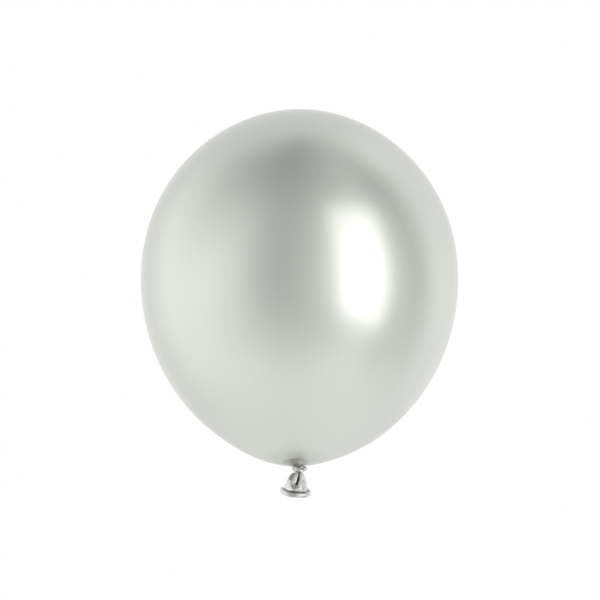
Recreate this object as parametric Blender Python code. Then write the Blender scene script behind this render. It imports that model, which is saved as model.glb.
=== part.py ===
"""A tied round latex party balloon, built in metres with +Z up.

The origin is the waist of the neck, just above the knot, where the balloon is tied and held.
From the top down: the inflated envelope, the gathered neck, the overhand knot, the flared
tail below it and the rolled rim of the mouth. The front of the balloon faces -Y.
"""

import math

import bmesh
import bpy
from mathutils import Vector

# Gap between touching pieces, which keeps their meshes apart.
SEAT_GAP = 0.0003

# Points closer than this are one point, and edges sharper than this angle stay sharp.
MERGE_DISTANCE = 1e-6
SHARP_ANGLE = math.radians(60.0)

# Envelope: radius at its widest, crown and throat measured from that height.
EQUATOR_RADIUS = 0.1400
CROWN_RISE = 0.1520
THROAT_DROP = 0.1701
THROAT_RADIUS = 0.0120
THROAT_HEIGHT = 0.0044
WALL = 0.0004

# Handles of the two curves that draw the envelope's profile.
CROWN_HANDLE = 0.0604
EQUATOR_HANDLE_UP = 0.0968
EQUATOR_HANDLE_DOWN = 0.0951
THROAT_HANDLE = 0.0630
THROAT_SLOPE = math.radians(13.0)

# The neck was pulled a little to one side, so the envelope leans over its lowest stretch.
AXIS_X = 0.0014
THROAT_X = -0.0018
LEAN_TOP = 0.0340

ENVELOPE_SIDES = 60
CROWN_STEPS = 14
SHOULDER_STEPS = 17

# Neck: a short flare of gathered film from the throat to the waist above the knot.
WAIST_RADIUS = 0.0022
NECK_FLARE_HANDLE = 0.0076
NECK_WAIST_HANDLE = 0.0018
NECK_PLEATS = 13
NECK_PLEAT_DEPTH = 0.20
NECK_SIDES = 78
NECK_STEPS = 7

# The tied end, knot, tail and rim, leans back and a little to the left from the knot's centre.
KNOT_DROP = 0.0027
LEAN_BACK = math.radians(19.0)
LEAN_LEFT = math.radians(3.0)

# Overhand knot: one strand that runs twice round the neck and weaves over and under itself.
KNOT_SIDEWAYS = 0.0012
KNOT_HALF_WIDTH = 0.0038
KNOT_HALF_DEPTH = 0.0036
KNOT_WEAVE = 0.00126
KNOT_STRAND_RADIUS = 0.0011
KNOT_FIRST_CROSSING = math.radians(-100.0)
KNOT_TURNS = 2
KNOT_WEAVES = 3
KNOT_STEPS = 84

# Core: the twisted film that runs through the middle of the knot, from the neck to the tail.
CORE_RADIUS = 0.0009
CORE_RISE = 0.0025

# Tail: the flat bell of film below the knot, hollow from its mouth up. Its middle drifts left.
TAIL_TOP = 0.0021
TAIL_TOP_X = 0.0006
TAIL_MOUTH_X = -0.0009
TAIL_WALL = 0.0007
TAIL_END_RISE = 0.0025
TAIL_PLEATS = 11
TAIL_SIDES = 84
HOLLOW_FROM = 4

# One deep crease runs down the tail's front, from right of the middle to left of it.
CREASE_TOP_ANGLE = math.radians(-73.0)
CREASE_BOTTOM_ANGLE = math.radians(-96.0)
CREASE_SPREAD = math.radians(12.0)

# Columns: drop below the tail's top, half width, half depth, and the depths of the pleats and
# of the crease as shares of the radius.
TAIL_SECTIONS = (
    (0.0000, 0.0016, 0.0013, 0.00, 0.00),
    (0.0006, 0.0031, 0.0025, 0.08, 0.12),
    (0.0015, 0.0042, 0.0032, 0.11, 0.30),
    (0.0034, 0.0056, 0.0041, 0.10, 0.42),
    (0.0062, 0.0071, 0.0051, 0.08, 0.42),
    (0.0088, 0.0083, 0.0058, 0.06, 0.32),
    (0.0112, 0.0091, 0.0063, 0.04, 0.17),
    (0.0136, 0.0097, 0.0068, 0.02, 0.05),
    (0.0156, 0.0102, 0.0072, 0.01, 0.00),
    (0.0169, 0.0108, 0.0078, 0.00, 0.00),
)

# Rounding of the strand's and the rim's cross section, which gives each ten sides.
TUBE_RESOLUTION = 3

# Rim: the film rolled up into a bead round the mouth.
RIM_RADIUS = 0.0020
RIM_HALF_WIDTH = 0.01145
RIM_HALF_DEPTH = 0.0083
RIM_STEPS = 60

SILVER_FILM = ("silver_film", (0.66, 0.67, 0.64), 0.27, 0.80)
SILVER_GATHERED = ("silver_gathered_film", (0.60, 0.61, 0.58), 0.20, 0.90)


def clear_scene():
    for old in list(bpy.data.objects):
        bpy.data.objects.remove(old)


def make_material(name, colour, roughness, metallic):
    material = bpy.data.materials.new(name)
    material.use_nodes = True
    shader = material.node_tree.nodes["Principled BSDF"]
    shader.inputs["Base Color"].default_value = (*colour, 1.0)
    shader.inputs["Roughness"].default_value = roughness
    shader.inputs["Metallic"].default_value = metallic
    return material


def add_object(name, data, material, parent=None):
    made = bpy.data.objects.new(name, data)
    data.materials.append(material)
    bpy.context.scene.collection.objects.link(made)
    made.parent = parent
    return made


def cubic(start, start_handle, end_handle, end, steps):
    """Points of a cubic curve from start to end, both ends included."""
    points = []
    for step in range(steps + 1):
        t = step / steps
        s = 1.0 - t
        points.append(
            s**3 * start + 3 * s * s * t * start_handle + 3 * s * t * t * end_handle + t**3 * end
        )
    return points


def ease(share):
    """0 to 1 with a soft start and end."""
    share = min(1.0, max(0.0, share))
    return share * share * (3.0 - 2.0 * share)


def throat_slope():
    """Direction of the envelope's profile at the throat, away from the axis."""
    return Vector((math.cos(THROAT_SLOPE), 0.0, math.sin(THROAT_SLOPE)))


def envelope_centre_x(height):
    lean = ease((LEAN_TOP - height) / (LEAN_TOP - THROAT_HEIGHT))
    return AXIS_X + (THROAT_X - AXIS_X) * lean


def envelope_profile():
    """Outer profile as (radius, 0, height) points, from the crown down to the throat."""
    equator = THROAT_HEIGHT + THROAT_DROP
    crown = equator + CROWN_RISE
    throat = Vector((THROAT_RADIUS, 0.0, THROAT_HEIGHT))
    widest = Vector((EQUATOR_RADIUS, 0.0, equator))
    upper = cubic(
        Vector((0.0, 0.0, crown)),
        Vector((CROWN_HANDLE, 0.0, crown)),
        widest + Vector((0.0, 0.0, EQUATOR_HANDLE_UP)),
        widest,
        CROWN_STEPS,
    )
    lower = cubic(
        widest,
        widest - Vector((0.0, 0.0, EQUATOR_HANDLE_DOWN)),
        throat + THROAT_HANDLE * throat_slope(),
        throat,
        SHOULDER_STEPS,
    )
    return upper + lower[1:]


def make_envelope(material):
    """The inflated film, turned from its profile and given its wall by a modifier."""
    bm = bmesh.new()
    profile = [bm.verts.new(point) for point in envelope_profile()]
    edges = [bm.edges.new(pair) for pair in zip(profile, profile[1:])]
    bmesh.ops.spin(
        bm,
        geom=profile + edges,
        cent=(0.0, 0.0, 0.0),
        axis=(0.0, 0.0, 1.0),
        angle=math.tau,
        steps=ENVELOPE_SIDES,
        use_merge=True,
    )
    bmesh.ops.remove_doubles(bm, verts=bm.verts, dist=MERGE_DISTANCE)
    bmesh.ops.recalc_face_normals(bm, faces=bm.faces)
    # The throat is open, so the outward side is set by a face at the crown.
    crown_face = max(bm.faces, key=lambda face: face.calc_center_median().z)
    if crown_face.normal.z < 0:
        bmesh.ops.reverse_faces(bm, faces=bm.faces)
    for vert in bm.verts:
        vert.co.x += envelope_centre_x(vert.co.z)
    mesh = bpy.data.meshes.new("envelope")
    bm.to_mesh(mesh)
    bm.free()
    mesh.shade_smooth()
    envelope = add_object("envelope", mesh, material)
    wall = envelope.modifiers.new("wall", "SOLIDIFY")
    wall.thickness = WALL
    wall.offset = -1.0
    return envelope


def loft(name, rings, material, parent=None):
    """A closed solid through rings of equally many points, with both ends capped."""
    bm = bmesh.new()
    loops = [[bm.verts.new(point) for point in ring] for ring in rings]
    count = len(loops[0])
    for upper, lower in zip(loops, loops[1:]):
        for i in range(count):
            j = (i + 1) % count
            bm.faces.new((upper[i], lower[i], lower[j], upper[j]))
    bm.faces.new(loops[0])
    bm.faces.new(list(reversed(loops[-1])))
    bmesh.ops.recalc_face_normals(bm, faces=bm.faces)
    mesh = bpy.data.meshes.new(name)
    bm.to_mesh(mesh)
    bm.free()
    mesh.shade_smooth()
    mesh.set_sharp_from_angle(angle=SHARP_ANGLE)
    return add_object(name, mesh, material, parent)


def make_neck(material):
    """The gathered flare: a plug in the throat that narrows to the waist, with radial pleats."""
    top = Vector((THROAT_RADIUS - SEAT_GAP, 0.0, THROAT_HEIGHT))
    waist = Vector((WAIST_RADIUS, 0.0, SEAT_GAP))
    profile = cubic(
        top,
        top - NECK_FLARE_HANDLE * throat_slope(),
        waist + Vector((0.0, 0.0, NECK_WAIST_HANDLE)),
        waist,
        NECK_STEPS,
    )
    profile.insert(0, top + Vector((0.0, 0.0, WALL)))
    rings = []
    for place in profile:
        gathered = 1.0 - (place.x - WAIST_RADIUS) / (THROAT_RADIUS - WAIST_RADIUS)
        centre_x = THROAT_X * (1.0 - ease(gathered))
        ring = []
        for side in range(NECK_SIDES):
            angle = math.tau * side / NECK_SIDES
            pleat = NECK_PLEAT_DEPTH * gathered**2 * (0.5 - 0.5 * math.cos(NECK_PLEATS * angle))
            radius = place.x * (1.0 - pleat)
            ring.append(
                Vector((centre_x + radius * math.cos(angle), radius * math.sin(angle), place.z))
            )
        rings.append(ring)
    return loft("neck", rings, material)


def make_tied_frame():
    """An empty at the knot's centre. Its -Z points down the leaning tail, to the mouth."""
    frame = bpy.data.objects.new("tied_frame", None)
    bpy.context.scene.collection.objects.link(frame)
    frame.location = (0.0, 0.0, -KNOT_DROP)
    frame.rotation_euler = (LEAN_BACK, LEAN_LEFT, 0.0)
    return frame


def make_tube(name, points, radius, material, parent):
    """A closed round tube through the points, whose ends meet."""
    curve = bpy.data.curves.new(name, "CURVE")
    curve.dimensions = "3D"
    curve.bevel_depth = radius
    curve.bevel_resolution = TUBE_RESOLUTION
    spline = curve.splines.new("POLY")
    spline.points.add(len(points) - 1)
    for spot, point in zip(spline.points, points):
        spot.co = (*point, 1.0)
    spline.use_cyclic_u = True
    spline.use_smooth = True
    return add_object(name, curve, material, parent)


def make_knot(material, parent):
    """The overhand knot's strand. In front it goes over from upper left to lower right."""
    points = []
    for step in range(KNOT_STEPS):
        angle = KNOT_FIRST_CROSSING + KNOT_TURNS * math.tau * step / KNOT_STEPS
        weave = KNOT_WEAVES / KNOT_TURNS * (angle - KNOT_FIRST_CROSSING)
        outward = KNOT_WEAVE * math.cos(weave)
        points.append(
            Vector((
                KNOT_SIDEWAYS + (KNOT_HALF_WIDTH + outward) * math.cos(angle),
                (KNOT_HALF_DEPTH + outward) * math.sin(angle),
                -KNOT_WEAVE * math.sin(weave),
            ))
        )
    return make_tube("knot", points, KNOT_STRAND_RADIUS, material, parent)


def core_ring(height):
    """One section of the core inside the knot, in the tied frame."""
    ring = []
    for side in range(TAIL_SIDES):
        angle = math.tau * side / TAIL_SIDES
        ring.append(
            Vector((
                KNOT_SIDEWAYS + CORE_RADIUS * math.cos(angle),
                CORE_RADIUS * math.sin(angle),
                height,
            ))
        )
    return ring


def tail_ring(drop, half_width, half_depth, pleat_depth, crease_depth, inset=0.0):
    """One section of the tail's wall, in the tied frame."""
    share_down = drop / TAIL_SECTIONS[-1][0]
    crease_angle = CREASE_TOP_ANGLE + (CREASE_BOTTOM_ANGLE - CREASE_TOP_ANGLE) * share_down
    middle_x = TAIL_TOP_X + (TAIL_MOUTH_X - TAIL_TOP_X) * share_down
    ring = []
    for side in range(TAIL_SIDES):
        angle = math.tau * side / TAIL_SIDES
        off_crease = math.remainder(angle - crease_angle, math.tau)
        crease = crease_depth * math.exp(-((off_crease / CREASE_SPREAD) ** 2))
        pleat = pleat_depth * (0.5 - 0.5 * math.cos(TAIL_PLEATS * off_crease))
        share = 1.0 - pleat - crease
        rise = TAIL_END_RISE * share_down**2 * math.cos(angle) ** 2
        ring.append(
            Vector((
                middle_x + (half_width * share - inset) * math.cos(angle),
                (half_depth * share - inset) * math.sin(angle),
                rise - drop - TAIL_TOP,
            ))
        )
    return ring


def make_tail(material, parent):
    """The core through the knot, the bell's outer wall down to the rim, then its hollow."""
    core = [core_ring(CORE_RISE), core_ring(-TAIL_TOP)]
    outer = [tail_ring(*section) for section in TAIL_SECTIONS]
    hollow = [
        tail_ring(*section, inset=TAIL_WALL) for section in reversed(TAIL_SECTIONS[HOLLOW_FROM:])
    ]
    return loft("tail", core + outer + hollow, material, parent)


def make_rim(material, parent):
    last_drop = TAIL_SECTIONS[-1][0]
    centre_drop = TAIL_TOP + last_drop + RIM_RADIUS + SEAT_GAP
    points = []
    for step in range(RIM_STEPS):
        angle = math.tau * step / RIM_STEPS
        points.append(
            Vector((
                TAIL_MOUTH_X + RIM_HALF_WIDTH * math.cos(angle),
                RIM_HALF_DEPTH * math.sin(angle),
                TAIL_END_RISE * math.cos(angle) ** 2 - centre_drop,
            ))
        )
    return make_tube("rim", points, RIM_RADIUS, material, parent)


def main():
    clear_scene()
    film = make_material(*SILVER_FILM)
    gathered = make_material(*SILVER_GATHERED)
    make_envelope(film)
    make_neck(gathered)
    tied_frame = make_tied_frame()
    make_knot(gathered, tied_frame)
    make_tail(gathered, tied_frame)
    make_rim(gathered, tied_frame)


main()
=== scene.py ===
"""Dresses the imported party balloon: one skin of metallic latex, gathered, knotted and rolled.

Everything is in metres with +Z up. The origin is the waist of the neck, just above the knot,
and the balloon's front faces -Y. The tied end is modelled upright and then tipped into its lean.
"""

import math
import random

import bpy
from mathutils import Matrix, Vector
from mathutils.geometry import interpolate_bezier
from mathutils.kdtree import KDTree


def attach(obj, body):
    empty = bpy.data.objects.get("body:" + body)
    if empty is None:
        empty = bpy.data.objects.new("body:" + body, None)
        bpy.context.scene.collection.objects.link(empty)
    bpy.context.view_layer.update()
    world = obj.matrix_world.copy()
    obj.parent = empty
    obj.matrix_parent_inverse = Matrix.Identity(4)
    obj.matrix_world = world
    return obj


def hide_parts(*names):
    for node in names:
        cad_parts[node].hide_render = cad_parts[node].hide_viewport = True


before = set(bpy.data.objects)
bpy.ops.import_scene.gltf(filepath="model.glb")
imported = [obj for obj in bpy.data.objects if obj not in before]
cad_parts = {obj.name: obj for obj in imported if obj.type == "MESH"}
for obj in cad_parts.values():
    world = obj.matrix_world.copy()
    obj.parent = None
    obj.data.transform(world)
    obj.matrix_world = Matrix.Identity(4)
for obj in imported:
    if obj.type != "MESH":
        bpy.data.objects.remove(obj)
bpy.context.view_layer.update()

MM = 0.001
MERGE_DISTANCE = 1e-6

# Envelope, as in the part: radius at its widest, crown and throat measured from that height.
EQUATOR_RADIUS = 0.1400
CROWN_RISE = 0.1520
THROAT_DROP = 0.1701
THROAT_RADIUS = 0.0120
THROAT_HEIGHT = 0.0044
CROWN_HANDLE = 0.0604
EQUATOR_HANDLE_UP = 0.0968
EQUATOR_HANDLE_DOWN = 0.0951
THROAT_HANDLE = 0.0630
THROAT_SLOPE = math.radians(13.0)
EQUATOR_HEIGHT = THROAT_HEIGHT + THROAT_DROP
CROWN_HEIGHT = EQUATOR_HEIGHT + CROWN_RISE

# The neck was pulled to one side, so the film leans over its lowest stretch.
AXIS_X = 0.0014
THROAT_X = -0.0018
WAIST_X = 0.0009
LEAN_TOP = 0.0340

# Neck: the film gathered from the throat down onto the knot, in pleats.
WAIST_RADIUS = 0.0024
WAIST_HEIGHT = -0.0012
NECK_FLARE_HANDLE = 0.0040
NECK_WAIST_HANDLE = (0.0020, 0.0, 0.0010)
NECK_PLEATS = 26
NECK_PLEAT_DEPTH = 0.00050
NECK_PLEAT_SPREAD = math.radians(5.0)
NECK_PLEAT_REACH = 0.0085
# Painted shade in the pleats' valleys.
NECK_PLEAT_PAINTED_SHADE = 0.06
# How far a pleat may be off its even place, and the ranges of its depth and reach, all as shares.
NECK_PLEAT_JITTER = 0.3
NECK_PLEAT_DEPTHS = (0.3, 1.0)
NECK_PLEAT_REACHES = (0.6, 1.1)
# How the skin runs on into the knot. Columns: share of the waist's radius, height.
NECK_PLUG = (
    (0.6, -0.0035),
    (0.9, -0.0022),
)

FILM_SIDES = 208
CROWN_RINGS = 52
SHOULDER_RINGS = 60
NECK_RINGS = 26
FILM_WALL = 0.0002

# The tied end leans from the knot's centre.
KNOT_DROP = 0.0027
LEAN_BACK = math.radians(19.0)
LEAN_LEFT = math.radians(3.0)

# Knot: one strand that runs twice round the neck and weaves over and under itself.
KNOT_SIDEWAYS = 0.0013
KNOT_RISE = 0.0011
KNOT_HALF_WIDTH = 0.0041
KNOT_HALF_DEPTH = 0.0036
KNOT_WEAVE = 0.00126
KNOT_FIRST_CROSSING = math.radians(-100.0)
KNOT_TURNS = 2
KNOT_WEAVES = 3
STRAND_RADIUS = 0.00156
STRAND_SWELL = 0.04
STRAND_SWELLS = 5
STRAND_SIDES = 28
STRAND_RINGS = 240
# Painted shade that darkens the whole strand.
STRAND_PAINTED_SHADE = 0.10
# Its lengthwise folds, with painted shade along them, wander to and fro by an angle in
# radians, and ripple by a smaller one.
STRAND_FOLDS = 4
STRAND_FOLD_JITTER = 0.3
STRAND_FOLD_DEPTHS = (0.5, 1.0)
STRAND_FOLD_DEPTH = 0.20
STRAND_FOLD_SPREAD = math.radians(20.0)
STRAND_FOLD_PAINTED_SHADE = 0.30
STRAND_FOLD_WANDER = 0.9
STRAND_FOLD_RIPPLE = 0.3
STRAND_FOLD_RIPPLES = 3
# Painted shade where its two passes press on each other. The other pass is looked for this many
# rings to each side of half the path further on.
PASS_CREASE_REACH = 0.0006
PASS_PAINTED_SHADE = 0.38
PASS_SEARCH = 40
# The neck and the tail squash the knot to this height. A share of it is left as it was.
KNOT_HALF_HEIGHT = 0.0026
KNOT_FREE_SHARE = 0.75
# Dents in the knot's front. Columns in millimetres: x, height, reach sideways, reach up and
# down, depth. The last one is how much shade is painted in it.
KNOT_DENTS = (
    (0.4, 1.4, 1.7, 2.2, 0.25, 0.30),
    (-1.9, 1.8, 1.9, 0.6, 0.25, 0.50),
    (1.4, 0.2, 1.1, 0.6, 0.10, 0.35),
    (3.1, 0.8, 1.5, 0.6, 0.25, 0.90),
    (4.8, 1.9, 0.9, 0.8, 0.15, 0.50),
    (5.4, 2.7, 1.2, 0.9, 0.30, 0.90),
)
# How steeply a dent, and a broad stroke in the tail, falls to full depth from its edge.
DENT_STEEPNESS = 1.5
BROAD_STEEPNESS = 2.5

# Core: the twisted film in the middle of the knot, from one height to the other.
CORE_RADIUS = 0.0016
CORE_HEIGHTS = (0.00125, -0.00105)

# Tail: the bell of film below the knot.
TAIL_TOP = 0.0021
TAIL_SIDES = 60
TAIL_SUBDIVISIONS = 2
TAIL_WALL = 0.00035
# Pleats round the tail's top, which have painted shade in them.
TAIL_PLEATS = 11
TAIL_PLEAT_DEPTH = 0.00030
TAIL_PLEAT_SPREAD = math.radians(9.0)
TAIL_PLEAT_START = -0.0010
TAIL_PLEAT_FADE_IN = 0.0025
TAIL_PLEAT_REACH = 0.0090
TAIL_PLEAT_PAINTED_SHADE = 0.12
TAIL_PLEAT_JITTER = 0.25
TAIL_PLEAT_DEPTHS = (0.4, 1.0)
TAIL_PLEAT_REACHES = (0.55, 1.2)
# Columns: drop, middle, half width, half depth.
TAIL_SECTIONS = (
    (-0.0006, 0.0006, 0.0022, 0.0018),
    (0.0000, 0.0005, 0.0034, 0.0027),
    (0.0008, 0.0002, 0.0049, 0.0033),
    (0.0020, -0.0001, 0.0060, 0.0041),
    (0.0036, -0.0003, 0.0069, 0.0050),
    (0.0054, -0.0004, 0.0076, 0.0060),
    (0.0072, -0.0005, 0.0084, 0.0070),
    (0.0090, -0.0006, 0.0090, 0.0080),
    (0.0108, -0.0007, 0.0094, 0.0090),
    (0.0122, -0.0007, 0.0097, 0.0097),
    (0.0132, -0.0008, 0.0100, 0.0100),
    (0.0141, -0.0007, 0.0105, 0.0098),
    (0.0152, -0.0006, 0.0108, 0.0090),
    (0.0164, -0.0007, 0.0108, 0.0081),
    (0.0178, -0.0008, 0.0104, 0.0073),
)

# Mouth: a long oval that sags between its ends, lowest a little to the right.
MOUTH_DROP = 0.0169
MOUTH_X = -0.0009
MOUTH_LEFT_RISE = 0.0033
MOUTH_RIGHT_RISE = 0.0023
MOUTH_LOWEST_X = 0.0026
MOUTH_SAG_POWER = 3.5

# Hem: where the tail's film rolls up, with painted shade in the groove above the rim. The hem
# starts lower at the mouth's ends.
HEM_DROP = 0.0150
HEM_REACH = 0.0012
HEM_PAINTED_SHADE = 0.42
HEM_END_PAINTED_SHADE = 0.05
HEM_END_DROP = 0.0012

# Rim: the film rolled up into a bead round the mouth.
RIM_HALF_WIDTH = 0.01185
RIM_HALF_DEPTH = 0.0087
RIM_HALF_HEIGHT = 0.0020
RIM_HALF_THICKNESS = 0.0015
RIM_END_SWELL = 0.35
RIM_END_POWER = 6
RIM_CENTRE_DROP = 0.0191
RIM_RINGS = 176
RIM_SIDES = 28
# The hem's painted shade goes on over the bead's inner top: an angle round the bead, and its
# reach.
RIM_HEM_MIDDLE = math.radians(50.0)
RIM_HEM_REACH = math.radians(55.0)
# Painted shade on the bead's underside.
RIM_UNDERSIDE_PAINTED_SHADE = 0.18
# Columns: angle round the mouth in degrees, how much shade is painted on the rolled film there.
RIM_PAINTED_SHADES = (
    (-180.0, 0.26),
    (-150.0, 0.10),
    (-132.0, 0.08),
    (-112.0, 0.42),
    (-96.0, 0.42),
    (-80.0, 0.17),
    (-72.0, 0.18),
    (-54.0, 0.42),
    (-34.0, 0.05),
    (0.0, 0.08),
    (180.0, 0.26),
)

# Stretched film. Its patterns: the size of a patch in metres and the number of finer layers. The
# streaks run with the meridians, so their size is an angle in radians.
CLOUDS = (0.045, 3.0)
PIGMENT = (0.0040, 2.0)
GRAIN = (0.0012, 1.0)
STREAKS = (0.050, 2.0)
# Its colour goes from dull to bright with the patterns, each of which has its share.
FILM_DULL = (0.651, 0.672, 0.622)
FILM_BRIGHT = (0.690, 0.712, 0.664)
CLOUD_SHARE = 0.5
PIGMENT_SHARE = 0.25
STREAK_SHARE = 0.25
# Where it isn't blown up as thin, each from one place softly to another. By height:
LOW_FILM = (0.004, 0.075)
CROWN_SPOT = (CROWN_HEIGHT - 0.0036, CROWN_HEIGHT - 0.0002)
# By distance from the throat's middle line:
THICK_FILM = (0.0100, 0.0126)
NEARLY_THICK_FILM = (0.0110, 0.0320)
# By distance from the waist, and from the place of a patch on the left, partly painted shade
# and partly uneven pigment:
OFF_THE_WAIST = (0.0022, 0.0060)
LEFT_PATCH = (0.0010, 0.0055)
LEFT_PATCH_PLACE = (-0.0035, -0.0040, 0.5 * THROAT_HEIGHT)
# What the colour is multiplied by in those places, and where shade is painted in the neck's
# pleats.
THICK_SHADE = (0.66, 0.66, 0.65)
LEFT_PATCH_SHADE_AND_PIGMENT = (0.80, 0.80, 0.79)
NEARLY_THICK_SHADE = (0.88, 0.88, 0.87)
FILM_PAINTED_SHADE = (0.30, 0.30, 0.29)
CROWN_SHADE = (0.76, 0.76, 0.74)
# Its gloss, and what the low film, the thick film and the clouds do to it.
FILM_METALLIC = 0.85
LOW_METALLIC_LOSS = 0.55
THICK_METALLIC_GAIN = 0.20
FILM_ROUGHNESS = 0.277
CLOUD_ROUGHNESS = 0.012
LOW_ROUGHNESS_GAIN = 0.20
THICK_ROUGHNESS_LOSS = 0.20
FILM_COAT = 0.3
FILM_COAT_ROUGHNESS = 0.15
# The height of its relief in metres, and the share of each pattern in it.
FILM_RELIEF = 4e-6
FILM_RELIEF_PIGMENT = 0.7
FILM_RELIEF_GRAIN = 0.3

# Gathered film, whose patterns are finer. Its wrinkles are drawn out lengthwise.
GATHERED_PIGMENT = (0.0012, 2.0)
GATHERED_GRAIN = (0.0004, 1.0)
WRINKLES = (0.0009, 2.0)
WRINKLE_DIRECTION = (1.0, 1.0, 0.18)
GATHERED_DULL = (0.800, 0.805, 0.790)
GATHERED_BRIGHT = (0.860, 0.865, 0.850)
GATHERED_PIGMENT_SHARE = 0.6
WRINKLE_SHARE = 0.4
GATHERED_PAINTED_SHADE = (0.10, 0.10, 0.095)
GATHERED_METALLIC = 0.62
GATHERED_ROUGHNESS = 0.22
GATHERED_PIGMENT_ROUGHNESS = 0.06
GATHERED_COAT = 0.25
GATHERED_COAT_ROUGHNESS = 0.12
GATHERED_RELIEF = 9e-5
GATHERED_RELIEF_WRINKLES = 0.8
GATHERED_RELIEF_GRAIN = 0.2

# Camera: it looks up at the balloon from just above the floor.
CAMERA_LIFT = math.radians(21.0)
CAMERA_DISTANCE = 2.211
CAMERA_LENS = 150.0
CAMERA_SENSOR = 36.0
CAMERA_CLIP_END = 100.0
FRAME_WIDTH = 600
EQUATOR_ROW = 277.7
AXIS_COLUMN = 299.5

FLOOR_HEIGHT = -0.65
FLOOR_SIZE = 60.0
FLOOR_COLOUR = (0.92, 0.92, 0.91, 1.0)
FLOOR_ROUGHNESS = 0.9

# Studio: light by direction as seen from the balloon, in degrees. Azimuth 0 is the camera's
# side, + its right. The level falls off above and rises below the horizon.
STUDIO_LEVEL = 1.042
STUDIO_UPPER_LOSS = 0.260
STUDIO_LOWER_GAIN = 0.225
STUDIO_FADE = 60.0
# Its panels, one after the other: a bright one adds its strength, a dark one, whose strength is
# below 0, takes that share away. Then middle, height, half width, half height, softness of the
# sides and of the ends, and how far the sides lean for each degree of height.
STUDIO_PANELS = (
    (1.30, 45.3, 2.3, 20.0, 28.1, 4.0, 4.2, -0.24),
    (-0.94, 72.2, 15.0, 9.7, 47.8, 20.0, 30.0, -0.11),
    (0.60, -76.3, 15.2, 46.2, 31.3, 21.8, 27.6, 0.07),
    (-0.86, -0.2, -8.8, 25.7, 41.9, 63.2, 46.8, 0.12),
    (-0.70, -19.4, 62.9, 44.9, 41.7, 62.7, 77.3, 1.09),
    (-0.94, 87.0, 13.5, 14.5, 28.9, 20.0, 37.3, -0.41),
    (0.89, 68.0, 21.1, 33.1, 45.9, 55.5, 20.0, 0.37),
    (-0.68, 66.4, 43.9, 43.8, 14.4, 57.2, 32.4, -0.16),
)

# A colour mix node has several sockets of one name, so these go by number.
MIX_FACTOR = 0
MIX_BELOW = 6
MIX_ABOVE = 7
MIX_RESULT = 2

rng = random.Random(14)


# Modelling helpers

def clamp(share):
    return min(1.0, max(0.0, share))


def ease(share):
    """0 to 1 with a soft start and end."""
    share = clamp(share)
    return share * share * (3.0 - 2.0 * share)


def deselect_all():
    if bpy.context.mode != "OBJECT":
        bpy.ops.object.mode_set(mode="OBJECT")
    bpy.ops.object.select_all(action="DESELECT")


def add_hoop(sides, centre, half_width, half_depth):
    """Adds an oval hoop at its place and leaves it in edit mode, all selected."""
    deselect_all()
    bpy.ops.mesh.primitive_circle_add(vertices=sides, radius=half_width)
    bpy.ops.object.mode_set(mode="EDIT")
    bpy.ops.transform.resize(value=(1.0, half_depth / half_width, 1.0), center_override=(0, 0, 0))
    bpy.ops.transform.translate(value=centre)


def draw_film(sides, hoops):
    """Pulls film on through the hoops, as (centre, half width, half depth), in edit mode."""
    add_hoop(sides, *hoops[0])
    for before, after in zip(hoops, hoops[1:]):
        bpy.ops.mesh.extrude_region_move(TRANSFORM_OT_translate={"value": after[0] - before[0]})
        widen = after[1] / before[1]
        deepen = after[2] / before[2]
        bpy.ops.transform.resize(value=(widen, deepen, 1.0), center_override=after[0])


def modifier(piece, kind, settings):
    """Adds a modifier with its settings and applies it."""
    added = piece.modifiers.new(kind.lower(), kind)
    for key, value in settings.items():
        setattr(added, key, value)
    bpy.ops.object.modifier_apply(modifier=added.name)


def close_and_face_out():
    """Merges doubled points, in edit mode, and turns the faces outwards."""
    bpy.ops.mesh.select_all(action="SELECT")
    bpy.ops.mesh.remove_doubles(threshold=MERGE_DISTANCE)
    bpy.ops.mesh.normals_make_consistent(inside=False)
    bpy.ops.object.mode_set(mode="OBJECT")


def give_wall(piece, thickness):
    modifier(piece, "SOLIDIFY", {"thickness": thickness, "offset": -1.0})


def tip_over(piece):
    """Tips a piece that was modelled upright about the knot's centre into its lean."""
    piece.location = (0.0, 0.0, -KNOT_DROP)
    piece.rotation_euler = (LEAN_BACK, LEAN_LEFT, 0.0)


def hang(name, slot, material, *nodes):
    """Names the piece in hand, gives it its finish and lets it stand for the part's nodes."""
    piece = bpy.context.object
    piece.name = name
    piece.data.name = name
    bpy.ops.object.transform_apply(location=True, rotation=True, scale=True)
    bpy.ops.object.shade_smooth()
    piece.data.materials.clear()
    piece.data.materials.append(material)
    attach(piece, "root")
    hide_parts(*nodes)


def spread_round(count, jitter, *ranges):
    """Uneven angles all round, each followed by one random value from every range."""
    places = []
    for number in range(count):
        angle = math.tau * (number + rng.uniform(-jitter, jitter)) / count
        places.append((angle, *[rng.uniform(*limits) for limits in ranges]))
    return places


def across_fold(angle, middle, spread):
    """1 along the middle of a fold, down to 0 beside it."""
    off = math.remainder(angle - middle, math.tau) / spread
    return math.exp(-(off**2))


def painted_shade_layer(mesh):
    """How much shade is painted at each point, from 0 to 1, which the materials read."""
    return mesh.attributes.get("painted_shade") or mesh.attributes.new("painted_shade", "FLOAT", "POINT")


def add_painted_shade(painted_shade, vert, shade):
    """Paints shade at a point."""
    point = painted_shade.data[vert.index]
    point.value = min(1.0, point.value + shade)


def inwards(vert):
    """The level direction from a point to the upright middle line."""
    return Vector((-vert.co.x, -vert.co.y, 0.0)).normalized()


# Materials

class Wire:
    """An output socket. Arithmetic on wires and numbers adds the Math nodes it stands for."""

    def __init__(self, graph, socket):
        self.graph = graph
        self.socket = socket

    def __add__(self, other):
        return self.graph.maths("ADD", self, other)

    def __radd__(self, other):
        return self.graph.maths("ADD", other, self)

    def __sub__(self, other):
        return self.graph.maths("SUBTRACT", self, other)

    def __rsub__(self, other):
        return self.graph.maths("SUBTRACT", other, self)

    def __mul__(self, other):
        return self.graph.maths("MULTIPLY", self, other)

    def __rmul__(self, other):
        return self.graph.maths("MULTIPLY", other, self)


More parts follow.
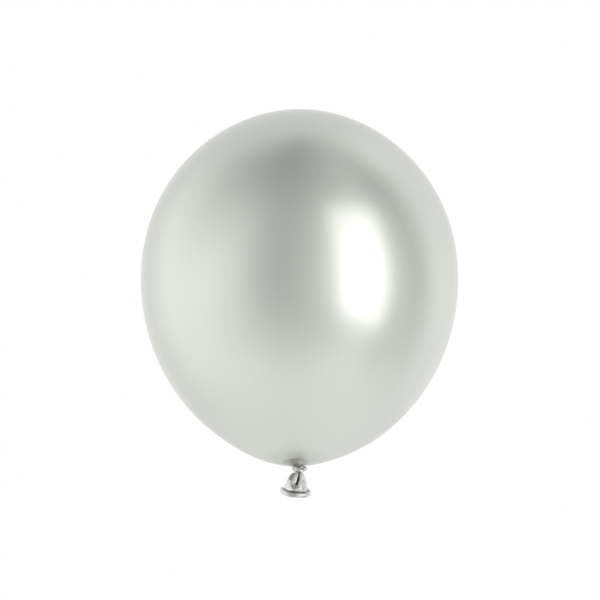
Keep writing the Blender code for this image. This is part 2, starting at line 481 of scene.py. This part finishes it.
class Graph:
    """The nodes of one material or world."""

    def __init__(self, owner):
        owner.use_nodes = True
        self.tree = owner.node_tree
        self.tree.nodes.clear()

    def node(self, kind, settings=None, sockets=None):
        """Adds a node: its settings first, then the values or wires of its sockets."""
        added = self.tree.nodes.new(kind)
        for key, value in (settings or {}).items():
            setattr(added, key, value)
        for key, value in (sockets or {}).items():
            if isinstance(value, Wire):
                self.tree.links.new(value.socket, added.inputs[key])
            else:
                added.inputs[key].default_value = value
        return added

    def wire(self, kind, settings=None, sockets=None, output=0):
        return Wire(self, self.node(kind, settings, sockets).outputs[output])

    def maths(self, operation, *values):
        return self.wire("ShaderNodeMath", {"operation": operation}, dict(enumerate(values)))

    def parts(self, vector):
        """The x, y and z of a vector."""
        split = self.node("ShaderNodeSeparateXYZ", None, {"Vector": vector})
        return [Wire(self, socket) for socket in split.outputs]

    def vector_maths(self, operation, *vectors, output="Vector"):
        sockets = dict(enumerate(vectors))
        return self.wire("ShaderNodeVectorMath", {"operation": operation}, sockets, output)

    def smooth_step(self, value, low, high, kind="SMOOTHSTEP"):
        """0 below low, 1 above high, with a soft passage between."""
        return self.wire(
            "ShaderNodeMapRange",
            {"interpolation_type": kind},
            {"Value": value, "From Min": low, "From Max": high},
        )

    def band(self, value, middle, half, soft):
        """1 where value is within half of middle, with soft edges."""
        rising = self.smooth_step(value, middle - half - soft, middle - half + soft)
        falling = self.smooth_step(value, middle + half - soft, middle + half + soft)
        return rising * (1 - falling)

    def stretch(self, vector, scale):
        return self.vector_maths("MULTIPLY", vector, scale)

    def distance(self, vector, point):
        return self.vector_maths("DISTANCE", vector, point, output="Value")

    def noise(self, vector, size, detail):
        """Soft noise about 0.5 whose patches are about this size."""
        return self.wire(
            "ShaderNodeTexNoise",
            None,
            {"Vector": vector, "Scale": 1.0 / size, "Detail": detail, "Roughness": 0.5},
        )

    def blend(self, mask, low, high):
        """A colour that goes from low to high with the mask."""
        return self.wire(
            "ShaderNodeMix",
            {"data_type": "RGBA"},
            {MIX_FACTOR: mask, MIX_BELOW: (*low, 1.0), MIX_ABOVE: (*high, 1.0)},
            MIX_RESULT,
        )

    def darken(self, colour, mask, shade):
        """The colour, multiplied by shade where the mask is 1."""
        return self.wire(
            "ShaderNodeMix",
            {"data_type": "RGBA", "blend_type": "MULTIPLY"},
            {MIX_FACTOR: mask, MIX_BELOW: colour, MIX_ABOVE: (*shade, 1.0)},
            MIX_RESULT,
        )

    def place(self):
        """Where on the piece a point is, in metres."""
        return self.wire("ShaderNodeTexCoord", output="Object")

    # The painted shade that each piece carries, from 0 to 1.
    def painted_shade(self):
        return self.wire("ShaderNodeAttribute", {"attribute_name": "painted_shade"}, output="Fac")

    def finish(self, sockets, relief, height):
        """Ends a material: a shader with these sockets, whose surface has a relief this high."""
        bump = self.wire(
            "ShaderNodeBump", None, {"Strength": 1.0, "Distance": height, "Height": relief}
        )
        shader = self.wire("ShaderNodeBsdfPrincipled", None, {**sockets, "Normal": bump})
        self.node("ShaderNodeOutputMaterial", None, {"Surface": shader})


def stretched_film():
    """Latex blown up thin: satin, evenly pigmented, a little thicker at the throat and crown."""
    material = bpy.data.materials.new("stretched_film")
    graph = Graph(material)
    place = graph.place()
    height = graph.parts(place)[2]
    level = graph.stretch(place, (1.0, 1.0, 0.0))
    clouds = graph.noise(place, *CLOUDS)
    pigment = graph.noise(place, *PIGMENT)
    grain = graph.noise(place, *GRAIN)
    streaks = graph.noise(graph.vector_maths("NORMALIZE", level), *STREAKS)

    low = 1 - graph.smooth_step(height, *LOW_FILM, "SMOOTHERSTEP")
    throat = graph.distance(level, (THROAT_X, 0.0, 0.0))
    thick = (1 - graph.smooth_step(throat, *THICK_FILM)) * low
    nearly_thick = (1 - graph.smooth_step(throat, *NEARLY_THICK_FILM)) * low
    waist = graph.distance(place, (WAIST_X, 0.0, WAIST_HEIGHT))
    off_the_waist = graph.smooth_step(waist, *OFF_THE_WAIST)
    left_patch = 1 - graph.smooth_step(graph.distance(place, LEFT_PATCH_PLACE), *LEFT_PATCH)
    crown = graph.smooth_step(height, *CROWN_SPOT)

    mottled = clouds * CLOUD_SHARE + pigment * PIGMENT_SHARE + streaks * STREAK_SHARE
    colour = graph.blend(mottled, FILM_DULL, FILM_BRIGHT)
    colour = graph.darken(colour, thick * off_the_waist, THICK_SHADE)
    # A patch on the left of the throat: partly painted shade, partly uneven pigment.
    colour = graph.darken(colour, left_patch, LEFT_PATCH_SHADE_AND_PIGMENT)
    colour = graph.darken(colour, nearly_thick, NEARLY_THICK_SHADE)
    # Painted shade in the neck's pleats.
    colour = graph.darken(colour, graph.painted_shade(), FILM_PAINTED_SHADE)
    colour = graph.darken(colour, crown, CROWN_SHADE)
    metallic = FILM_METALLIC - low * LOW_METALLIC_LOSS + thick * THICK_METALLIC_GAIN
    roughness = FILM_ROUGHNESS + clouds * CLOUD_ROUGHNESS
    roughness = roughness + low * LOW_ROUGHNESS_GAIN - thick * THICK_ROUGHNESS_LOSS
    sockets = {
        "Base Color": colour,
        "Metallic": metallic,
        "Roughness": roughness,
        "Coat Weight": FILM_COAT,
        "Coat Roughness": FILM_COAT_ROUGHNESS,
    }
    relief = pigment * FILM_RELIEF_PIGMENT + grain * FILM_RELIEF_GRAIN
    graph.finish(sockets, relief, FILM_RELIEF)
    return material


def gathered_film():
    """Latex that isn't stretched: thick, shiny and dense, with fine lengthwise wrinkles and
    painted shade.
    """
    material = bpy.data.materials.new("gathered_film")
    graph = Graph(material)
    place = graph.place()
    pigment = graph.noise(place, *GATHERED_PIGMENT)
    grain = graph.noise(place, *GATHERED_GRAIN)
    wrinkles = graph.noise(graph.stretch(place, WRINKLE_DIRECTION), *WRINKLES)
    mottled = pigment * GATHERED_PIGMENT_SHARE + wrinkles * WRINKLE_SHARE
    colour = graph.blend(mottled, GATHERED_DULL, GATHERED_BRIGHT)
    # Painted shade that the knot, the tail and the rim carry.
    colour = graph.darken(colour, graph.painted_shade(), GATHERED_PAINTED_SHADE)
    sockets = {
        "Base Color": colour,
        "Metallic": GATHERED_METALLIC,
        "Roughness": GATHERED_ROUGHNESS + pigment * GATHERED_PIGMENT_ROUGHNESS,
        "Coat Weight": GATHERED_COAT,
        "Coat Roughness": GATHERED_COAT_ROUGHNESS,
    }
    relief = wrinkles * GATHERED_RELIEF_WRINKLES + grain * GATHERED_RELIEF_GRAIN
    graph.finish(sockets, relief, GATHERED_RELIEF)
    return material


# The film skin: envelope and gathered neck in one

def film_centre_x(height):
    """The middle of the skin at a height: from the waist over to the throat and to the axis."""
    if height < THROAT_HEIGHT:
        share = ease((height - WAIST_HEIGHT) / (THROAT_HEIGHT - WAIST_HEIGHT))
        return WAIST_X + (THROAT_X - WAIST_X) * share
    return AXIS_X + (THROAT_X - AXIS_X) * ease((LEAN_TOP - height) / (LEAN_TOP - THROAT_HEIGHT))


def film_hoops():
    """Hoops of the skin from inside the knot up to just below the crown."""
    slope = Vector((math.cos(THROAT_SLOPE), 0.0, math.sin(THROAT_SLOPE)))
    waist = Vector((WAIST_RADIUS, 0.0, WAIST_HEIGHT))
    throat = Vector((THROAT_RADIUS, 0.0, THROAT_HEIGHT))
    widest = Vector((EQUATOR_RADIUS, 0.0, EQUATOR_HEIGHT))
    crown = Vector((0.0, 0.0, CROWN_HEIGHT))
    up = Vector((0.0, 0.0, 1.0))
    plug = [Vector((WAIST_RADIUS * share, 0.0, height)) for share, height in NECK_PLUG]
    neck = interpolate_bezier(
        waist,
        waist + Vector(NECK_WAIST_HANDLE),
        throat - NECK_FLARE_HANDLE * slope,
        throat,
        NECK_RINGS,
    )
    shoulder = interpolate_bezier(
        throat,
        throat + THROAT_HANDLE * slope,
        widest - EQUATOR_HANDLE_DOWN * up,
        widest,
        SHOULDER_RINGS,
    )
    dome = interpolate_bezier(
        widest,
        widest + EQUATOR_HANDLE_UP * up,
        crown + Vector((CROWN_HANDLE, 0.0, 0.0)),
        crown,
        CROWN_RINGS,
    )
    hoops = []
    for place in plug + neck + shoulder[1:] + dome[1:-1]:
        hoops.append((Vector((film_centre_x(place.z), 0.0, place.z)), place.x, place.x))
    return hoops


def gather_neck(mesh):
    """Folds the neck into uneven pleats that die out towards the throat, with painted shade in
    them.
    """
    pleats = spread_round(NECK_PLEATS, NECK_PLEAT_JITTER, NECK_PLEAT_DEPTHS, NECK_PLEAT_REACHES)
    painted_shade = painted_shade_layer(mesh)
    moves = {}
    for vert in mesh.vertices:
        if vert.co.z > LEAN_TOP:
            continue
        centre_x = film_centre_x(vert.co.z)
        radius = math.hypot(vert.co.x - centre_x, vert.co.y)
        angle = math.atan2(vert.co.y, vert.co.x - centre_x)
        fold = 0.0
        for middle, depth, reach in pleats:
            fade = ease(1.0 - (radius - WAIST_RADIUS) / (NECK_PLEAT_REACH * reach))
            fold += depth * fade * across_fold(angle, middle, NECK_PLEAT_SPREAD)
        moves[vert.index] = vert.normal * (-NECK_PLEAT_DEPTH * fold)
        add_painted_shade(painted_shade, vert, NECK_PLEAT_PAINTED_SHADE * min(1.0, fold))
    for index, move in moves.items():
        mesh.vertices[index].co += move


def make_film_skin(material):
    hoops = film_hoops()
    draw_film(FILM_SIDES, hoops)
    bpy.ops.mesh.extrude_region_move(
        TRANSFORM_OT_translate={"value": (0.0, 0.0, CROWN_HEIGHT - hoops[-1][0].z)}
    )
    bpy.ops.mesh.merge(type="CENTER")
    close_and_face_out()
    skin = bpy.context.object
    gather_neck(skin.data)
    give_wall(skin, FILM_WALL)
    hang("film_skin", "silver_film", material, "envelope", "neck")


# The knot

def knot_path():
    """Points along the middle of the strand, once through both of its turns."""
    points = []
    for step in range(STRAND_RINGS):
        angle = KNOT_FIRST_CROSSING + KNOT_TURNS * math.tau * step / STRAND_RINGS
        weave = KNOT_WEAVES / KNOT_TURNS * (angle - KNOT_FIRST_CROSSING)
        outward = KNOT_WEAVE * math.cos(weave)
        points.append(
            Vector((
                KNOT_SIDEWAYS + (KNOT_HALF_WIDTH + outward) * math.cos(angle),
                (KNOT_HALF_DEPTH + outward) * math.sin(angle),
                KNOT_RISE - KNOT_WEAVE * math.sin(weave),
            ))
        )
    return points


def make_guide(points):
    """A closed curve through the points, for a strand to follow."""
    deselect_all()
    bpy.ops.mesh.primitive_circle_add(vertices=len(points))
    for vert, point in zip(bpy.context.object.data.vertices, points):
        vert.co = point
    bpy.ops.object.convert(target="CURVE")
    guide = bpy.context.object
    guide.data.dimensions = "3D"
    return guide


def straight_strand(length):
    """Hoops of the strand before it is tied, which swells and thins a little on its way."""
    hoops = []
    for ring in range(STRAND_RINGS):
        swell = STRAND_SWELL * math.sin(math.tau * STRAND_SWELLS * ring / STRAND_RINGS)
        radius = STRAND_RADIUS * (1.0 + swell)
        hoops.append((Vector((0.0, 0.0, length / STRAND_RINGS * ring)), radius, radius))
    return hoops


def fold_strand(mesh, length):
    """Presses lengthwise folds into the straight strand, which wander round it, and paints shade
    on the strand, more along the folds.
    """
    painted_shade = painted_shade_layer(mesh)
    folds = spread_round(STRAND_FOLDS, STRAND_FOLD_JITTER, STRAND_FOLD_DEPTHS, (0.0, math.tau))
    for vert in mesh.vertices:
        angle = math.atan2(vert.co.y, vert.co.x)
        turn = math.tau * vert.co.z / length
        fold = 0.0
        for start, depth, phase in folds:
            middle = start + STRAND_FOLD_WANDER * math.sin(turn + phase)
            middle += STRAND_FOLD_RIPPLE * math.sin(STRAND_FOLD_RIPPLES * turn - phase)
            fold += depth * across_fold(angle, middle, STRAND_FOLD_SPREAD)
        add_painted_shade(painted_shade, vert, STRAND_PAINTED_SHADE + STRAND_FOLD_PAINTED_SHADE * min(1.0, fold))
        share = 1.0 - STRAND_FOLD_DEPTH * fold
        vert.co.x *= share
        vert.co.y *= share


def shade_between_passes(mesh, points):
    """Paints shade where the strand's two passes press on each other."""
    path = KDTree(len(points))
    for index, point in enumerate(points):
        path.insert(point, index)
    path.balance()
    painted_shade = painted_shade_layer(mesh)
    half_path = STRAND_RINGS // KNOT_TURNS
    for vert in mesh.vertices:
        own = path.find(vert.co)[1]
        other = min(
            (vert.co - points[(own + half_path + step) % STRAND_RINGS]).length
            for step in range(-PASS_SEARCH, PASS_SEARCH)
        )
        press = ease(1.0 - (other - STRAND_RADIUS) / PASS_CREASE_REACH)
        add_painted_shade(painted_shade, vert, PASS_PAINTED_SHADE * press)


def squash_knot(mesh):
    """Flattens the knot's top and bottom, where the neck and the tail press on it."""
    free = KNOT_FREE_SHARE * KNOT_HALF_HEIGHT
    room = KNOT_HALF_HEIGHT - free
    for vert in mesh.vertices:
        height = vert.co.z - KNOT_RISE
        over = abs(height) - free
        if over > 0.0:
            vert.co.z = KNOT_RISE + math.copysign(free + room * math.tanh(over / room), height)


def dent(mesh, x, height, reach_x, reach_z, depth, shade):
    """Presses a dent into the knot's front, as in KNOT_DENTS, with painted shade in it."""
    painted_shade = painted_shade_layer(mesh)
    for vert in mesh.vertices:
        if vert.co.y > 0.0:
            continue
        across = (vert.co.x - x * MM) / (reach_x * MM)
        up = (vert.co.z - height * MM) / (reach_z * MM)
        weight = ease(DENT_STEEPNESS * (1.0 - math.hypot(across, up)))
        vert.co.y += depth * MM * weight
        add_painted_shade(painted_shade, vert, shade * weight)


def make_knot(material):
    points = knot_path()
    length = sum((b - a).length for a, b in zip(points, points[1:] + points[:1]))
    guide = make_guide(points)
    draw_film(STRAND_SIDES, straight_strand(length))
    close_and_face_out()
    strand = bpy.context.object
    fold_strand(strand.data, length)
    modifier(strand, "CURVE", {"object": guide, "deform_axis": "POS_Z"})
    bpy.ops.object.mode_set(mode="EDIT")
    bpy.ops.mesh.select_all(action="DESELECT")
    bpy.ops.mesh.select_mode(type="EDGE")
    bpy.ops.mesh.select_non_manifold()
    bpy.ops.mesh.bridge_edge_loops()
    close_and_face_out()
    shade_between_passes(strand.data, points)
    squash_knot(strand.data)
    for shape in KNOT_DENTS:
        dent(strand.data, *shape)
    tip_over(strand)
    hang("knot_strand", "silver_gathered_film", material, "knot")
    bpy.data.objects.remove(guide)


# The tail

def sharp(share):
    return share * share


def even(share):
    return share


def broad(share):
    """Full almost to its edges."""
    return ease(BROAD_STEEPNESS * share)


# The strokes that shape the tail's front, like a thumb that changes its weight on the way: how
# each one's weight falls off to its sides, how much shade is painted along it, and its marks.
# Columns of the marks, in millimetres: x, drop, reach to the left, reach to the right, depth.
TAIL_STROKES = (
    # The facet at the upper left slopes out from the knot to a shoulder.
    (ease, 0.0, (
        (-2.6, 0.2, 1.6, 1.4, 0.7),
        (-4.2, 2.8, 2.3, 1.7, 0.9),
        (-6.2, 5.0, 2.3, 1.7, 0.2),
    )),
    # Painted shade on the facet.
    (broad, 0.54, (
        (-3.0, 0.8, 2.0, 1.5, 0.0),
        (-5.0, 3.0, 2.4, 2.1, 0.0),
        (-5.8, 4.8, 2.4, 2.7, 0.0),
    )),
    # The ridge runs from the knot down to a rounded end.
    (ease, 0.0, (
        (-0.2, 1.2, 0.9, 0.9, -0.40),
        (-0.8, 3.4, 1.0, 0.9, -0.60),
        (-1.5, 5.2, 1.1, 1.0, -0.60),
        (-2.4, 6.9, 1.1, 1.0, -0.50),
        (-3.2, 8.4, 1.1, 1.0, -0.30),
    )),
    # Painted shade over the ridge's end dims its highlight.
    (ease, 0.50, (
        (-1.4, 6.2, 1.3, 1.5, 0.0),
        (-2.1, 9.6, 1.7, 1.5, 0.0),
    )),
    # The crease bends to the left at its end.
    (even, 0.0, (
        (1.40, 0.0, 1.6, 0.6, 0.3),
        (0.9, 6.3, 2.2, 0.7, 0.7),
        (-0.6, 9.6, 2.2, 0.7, 0.4),
    )),
    # The crease is pressed in with painted shade, and more painted shade runs along it.
    (sharp, 0.18, (
        (1.75, -1.0, 0.9, 0.9, 1.6),
        (1.60, 1.8, 1.3, 1.3, 2.6),
        (1.20, 5.6, 1.7, 1.8, 3.6),
        (0.3, 8.2, 1.7, 1.9, 3.0),
        (-1.2, 10.8, 1.8, 1.8, 0.9),
    )),
    (broad, 0.64, (
        (1.35, 0.7, 0.7, 0.8, 0.0),
        (1.35, 2.6, 1.1, 1.1, 0.0),
        (0.75, 5.2, 1.4, 1.3, 0.0),
        (0.35, 8.2, 1.3, 1.3, 0.0),
        (-0.7, 10.2, 0.8, 0.9, 0.0),
    )),
    # The dimple at the crease's end, and the groove that curls up from it round the ridge, with
    # painted shade in both.
    (broad, 0.36, (
        (-2.2, 11.8, 3.2, 3.2, 0.25),
        (-0.6, 10.9, 3.0, 3.2, 0.25),
    )),
    (ease, 0.30, (
        (-1.8, 12.8, 2.8, 3.2, 0.0),
        (-3.0, 15.8, 2.2, 3.6, 0.0),
    )),
    (ease, 0.40, (
        (-4.6, 6.8, 1.2, 1.0, 0.10),
        (-4.6, 9.2, 1.5, 1.3, 0.25),
        (-4.1, 11.5, 1.5, 1.3, 0.20),
    )),
    # Painted shade along the left edge, where the film turns away.
    (ease, 0.50, (
        (-10.1, 8.8, 1.1, 1.4, 0.0),
        (-10.8, 11.8, 1.2, 1.5, 0.0),
    )),
    # Fine pleats on the right, with painted shade in them and over the bell's right side, which
    # dims its highlight.
    (broad, 0.24, (
        (4.0, 8.0, 2.0, 3.0, 0.0),
        (3.2, 16.0, 3.8, 4.9, 0.0),
    )),
    (ease, 0.22, (
        (2.9, 12.40, 1.6, 2.2, 0.0),
        (2.9, 12.41, 1.6, 2.2, 0.0),
    )),
    (ease, 0.15, (
        (2.7, 0.6, 0.7, 0.7, 0.30),
        (3.2, 9.0, 0.7, 0.7, 0.15),
    )),
    (ease, 0.20, (
        (3.6, 1.3, 0.7, 0.7, 0.30),
        (5.9, 14.2, 0.7, 0.7, 0.20),
    )),
    (ease, 0.15, (
        (5.0, 3.4, 0.7, 0.7, 0.25),
        (6.9, 11.0, 0.7, 0.7, 0.15),
    )),
    (ease, 0.24, (
        (5.2, 10.6, 0.5, 0.5, 0.05),
        (5.6, 14.6, 0.7, 0.7, 0.30),
    )),
    # Painted shade in the fold at the right end, where the bell meets the rim.
    (ease, 0.7, (
        (9.9, 14.2, 1.2, 1.2, 0.0),
        (9.6, 16.4, 1.2, 1.2, 0.0),
    )),
)


def tail_hoops():
    """Hoops from the core inside the knot down to the hem inside the rim."""
    hoops = []
    for height in CORE_HEIGHTS:
        hoops.append((Vector((KNOT_SIDEWAYS, 0.0, height)), CORE_RADIUS, CORE_RADIUS))
    for drop, middle_x, half_width, half_depth in TAIL_SECTIONS:
        hoops.append((Vector((middle_x, 0.0, -TAIL_TOP - drop)), half_width, half_depth))
    return hoops


def pleat_top(mesh):
    """Uneven pleats all round, which run out from the knot and fade down the tail, with painted
    shade in them.
    """
    painted_shade = painted_shade_layer(mesh)
    pleats = spread_round(TAIL_PLEATS, TAIL_PLEAT_JITTER, TAIL_PLEAT_DEPTHS, TAIL_PLEAT_REACHES)
    for vert in mesh.vertices:
        drop = -vert.co.z - TAIL_TOP
        angle = math.atan2(vert.co.y, vert.co.x)
        fade_in = ease((drop - TAIL_PLEAT_START) / TAIL_PLEAT_FADE_IN)
        fold = 0.0
        for middle, depth, reach in pleats:
            fade = fade_in * ease(1.0 - drop / (TAIL_PLEAT_REACH * reach))
            fold += depth * fade * across_fold(angle, middle, TAIL_PLEAT_SPREAD)
        vert.co += inwards(vert) * (TAIL_PLEAT_DEPTH * fold)
        add_painted_shade(painted_shade, vert, TAIL_PLEAT_PAINTED_SHADE * min(1.0, fold))


def nearest_mark(spot, marks):
    """How far a spot is from the line through the marks, and what the mark is at that place."""
    best = None
    for start, end in zip(marks, marks[1:]):
        line = Vector(end[:2]) - Vector(start[:2])
        along = clamp((spot - Vector(start[:2])).dot(line) / line.length_squared)
        here = [a + (b - a) * along for a, b in zip(start, end)]
        away = (spot - Vector(here[:2])).length
        if best is None or away < best[0]:
            best = (away, here)
    return best


def stroke(mesh, profile, shade, marks):
    """Presses one of TAIL_STROKES into the tail's front and paints its shade."""
    painted_shade = painted_shade_layer(mesh)
    marks = [[value * MM for value in mark] for mark in marks]
    for vert in mesh.vertices:
        if vert.co.y > 0.0 or vert.co.z > 0.0:
            continue
        spot = Vector((vert.co.x, -vert.co.z - TAIL_TOP))
        away, (x, _, left, right, depth) = nearest_mark(spot, marks)
        reach = left if spot.x < x else right
        if away < reach:
            weight = profile(1.0 - away / reach)
            vert.co += inwards(vert) * (depth * weight)
            add_painted_shade(painted_shade, vert, shade * weight)


def across_mouth(x):
    """0 at the mouth's middle, 1 at its ends."""
    return min(1.0, abs(x - MOUTH_X) / RIM_HALF_WIDTH)


def hem_painted_shade(x):
    """How much shade is painted where the film rolls up into the rim: less at the mouth's ends.
    """
    return HEM_PAINTED_SHADE + (HEM_END_PAINTED_SHADE - HEM_PAINTED_SHADE) * across_mouth(x) ** 3


def paint_hem_shade(mesh):
    """Paints shade on the tail's film just above the rim."""
    painted_shade = painted_shade_layer(mesh)
    for vert in mesh.vertices:
        drop = -vert.co.z - TAIL_TOP
        start = HEM_DROP + HEM_END_DROP * across_mouth(vert.co.x) ** 2
        add_painted_shade(painted_shade, vert, hem_painted_shade(vert.co.x) * ease((drop - start) / HEM_REACH))


def mouth_rise(x):
    """How far the mouth's long oval is lifted at x."""
    off = x - MOUTH_X - MOUTH_LOWEST_X
    if off < 0.0:
        across = -off / (RIM_HALF_WIDTH + MOUTH_LOWEST_X)
        return MOUTH_LEFT_RISE * across**MOUTH_SAG_POWER
    across = off / (RIM_HALF_WIDTH - MOUTH_LOWEST_X)
    return MOUTH_RIGHT_RISE * across**MOUTH_SAG_POWER


def sag_mouth(mesh):
    """Lifts the ends of the tail's mouth, less and less up the tail."""
    for vert in mesh.vertices:
        share_down = clamp((-vert.co.z - TAIL_TOP) / MOUTH_DROP)
        vert.co.z += share_down**2 * mouth_rise(vert.co.x)


def make_tail(material):
    draw_film(TAIL_SIDES, tail_hoops())
    close_and_face_out()
    tail = bpy.context.object
    modifier(tail, "SUBSURF", {"levels": TAIL_SUBDIVISIONS})
    pleat_top(tail.data)
    for shape in TAIL_STROKES:
        stroke(tail.data, *shape)
    paint_hem_shade(tail.data)
    sag_mouth(tail.data)
    give_wall(tail, TAIL_WALL)
    tip_over(tail)
    hang("tail_bell", "silver_gathered_film", material, "tail")


# The rim

def rim_painted_shade(angle):
    """How much shade is painted on the rolled film at an angle round the mouth."""
    degrees = math.degrees(angle)
    for (start, before), (end, after) in zip(RIM_PAINTED_SHADES, RIM_PAINTED_SHADES[1:]):
        if degrees <= end:
            return before + (after - before) * ease((degrees - start) / (end - start))
    return RIM_PAINTED_SHADES[-1][1]


def make_rim(material):
    deselect_all()
    bpy.ops.mesh.primitive_torus_add(
        major_segments=RIM_RINGS,
        minor_segments=RIM_SIDES,
        major_radius=RIM_HALF_WIDTH,
        minor_radius=RIM_HALF_HEIGHT,
    )
    rim = bpy.context.object
    painted_shade = painted_shade_layer(rim.data)
    for vert in rim.data.vertices:
        angle = math.atan2(vert.co.y, vert.co.x)
        tube = math.hypot(vert.co.x, vert.co.y) - RIM_HALF_WIDTH
        round_tube = math.atan2(vert.co.z, -tube)
        inner_top = ease(1.0 - abs(round_tube - RIM_HEM_MIDDLE) / RIM_HEM_REACH)
        underside = ease(-vert.co.z / RIM_HALF_HEIGHT)
        tube *= RIM_HALF_THICKNESS / RIM_HALF_HEIGHT
        vert.co.x = MOUTH_X + (RIM_HALF_WIDTH + tube) * math.cos(angle)
        vert.co.y = (RIM_HALF_DEPTH + tube) * math.sin(angle)
        vert.co.z *= 1.0 + RIM_END_SWELL * math.cos(angle) ** RIM_END_POWER
        middle = mouth_rise(MOUTH_X + RIM_HALF_WIDTH * math.cos(angle))
        vert.co.z += middle - TAIL_TOP - RIM_CENTRE_DROP
        # Painted shade: by the angle round the mouth, on the underside, and over the inner top.
        shade = rim_painted_shade(angle) + RIM_UNDERSIDE_PAINTED_SHADE * underside
        shade += hem_painted_shade(vert.co.x) * inner_top
        add_painted_shade(painted_shade, vert, shade)
    tip_over(rim)
    hang("rim_bead", "silver_gathered_film", material, "rim")


# The studio

def make_floor():
    """A pale floor that is clear from below and throws no light back onto the balloon."""
    deselect_all()
    bpy.ops.mesh.primitive_plane_add(size=FLOOR_SIZE, location=(0.0, 0.0, FLOOR_HEIGHT))
    floor = bpy.context.object
    floor.name = "floor"
    floor.visible_diffuse = False
    floor.visible_glossy = False
    material = bpy.data.materials.new("pale_floor")
    graph = Graph(material)
    sockets = {"Base Color": FLOOR_COLOUR, "Roughness": FLOOR_ROUGHNESS}
    paper = graph.wire("ShaderNodeBsdfPrincipled", None, sockets)
    clear = graph.wire("ShaderNodeBsdfTransparent")
    below = graph.wire("ShaderNodeNewGeometry", output="Backfacing")
    surface = graph.wire("ShaderNodeMixShader", None, {0: below, 1: paper, 2: clear})
    graph.node("ShaderNodeOutputMaterial", None, {"Surface": surface})
    floor.data.materials.append(material)


def make_light():
    """The studio as the balloon's surface sees it. The camera sees plain white behind it."""
    world = bpy.data.worlds.new("studio")
    graph = Graph(world)
    x, y, z = graph.parts(graph.wire("ShaderNodeTexCoord", output="Generated"))
    degrees = 180.0 / math.pi
    azimuth = graph.maths("ARCTAN2", x, y * -1.0) * degrees
    elevation = graph.maths("ARCSINE", z) * degrees

    def panel(middle, height, half_width, half_height, soft_side, soft_end, lean):
        """A soft-edged patch of the studio."""
        across = azimuth - lean * (elevation - height)
        sides = graph.band(across, middle, half_width, soft_side)
        return sides * graph.band(elevation, height, half_height, soft_end)

    upper = graph.smooth_step(elevation, 0.0, STUDIO_FADE)
    lower = graph.smooth_step(elevation * -1.0, 0.0, STUDIO_FADE)
    level = STUDIO_LEVEL - upper * STUDIO_UPPER_LOSS + lower * STUDIO_LOWER_GAIN
    for strength, *shape in STUDIO_PANELS:
        if strength > 0.0:
            level = level + strength * panel(*shape)
        else:
            level = level * (1 + strength * panel(*shape))
    seen = graph.wire("ShaderNodeLightPath", output="Is Camera Ray")
    sockets = {"Color": (1.0, 1.0, 1.0, 1.0), "Strength": seen + (1 - seen) * level}
    light = graph.wire("ShaderNodeBackground", None, sockets)
    graph.node("ShaderNodeOutputWorld", None, {"Surface": light})
    bpy.context.scene.world = world


def make_camera():
    data = bpy.data.cameras.new("camera")
    camera = bpy.data.objects.new("camera", data)
    bpy.context.scene.collection.objects.link(camera)
    bpy.context.scene.camera = camera
    data.lens = CAMERA_LENS
    data.sensor_width = CAMERA_SENSOR
    data.clip_end = CAMERA_CLIP_END
    aim = Vector((AXIS_X, 0.0, EQUATOR_HEIGHT))
    back = Vector((0.0, math.cos(CAMERA_LIFT), math.sin(CAMERA_LIFT))) * CAMERA_DISTANCE
    camera.location = aim - back
    focal = FRAME_WIDTH * CAMERA_LENS / CAMERA_SENSOR
    lower = math.atan((FRAME_WIDTH / 2 - EQUATOR_ROW) / focal)
    aside = math.atan((FRAME_WIDTH / 2 - AXIS_COLUMN) / focal)
    camera.rotation_euler = (math.pi / 2 + CAMERA_LIFT - lower, 0.0, -aside)


def main():
    stretched = stretched_film()
    gathered = gathered_film()
    make_film_skin(stretched)
    make_knot(gathered)
    make_tail(gathered)
    make_rim(gathered)
    make_floor()
    make_light()
    make_camera()
    bpy.context.scene.view_settings.view_transform = "Standard"
    deselect_all()


main()
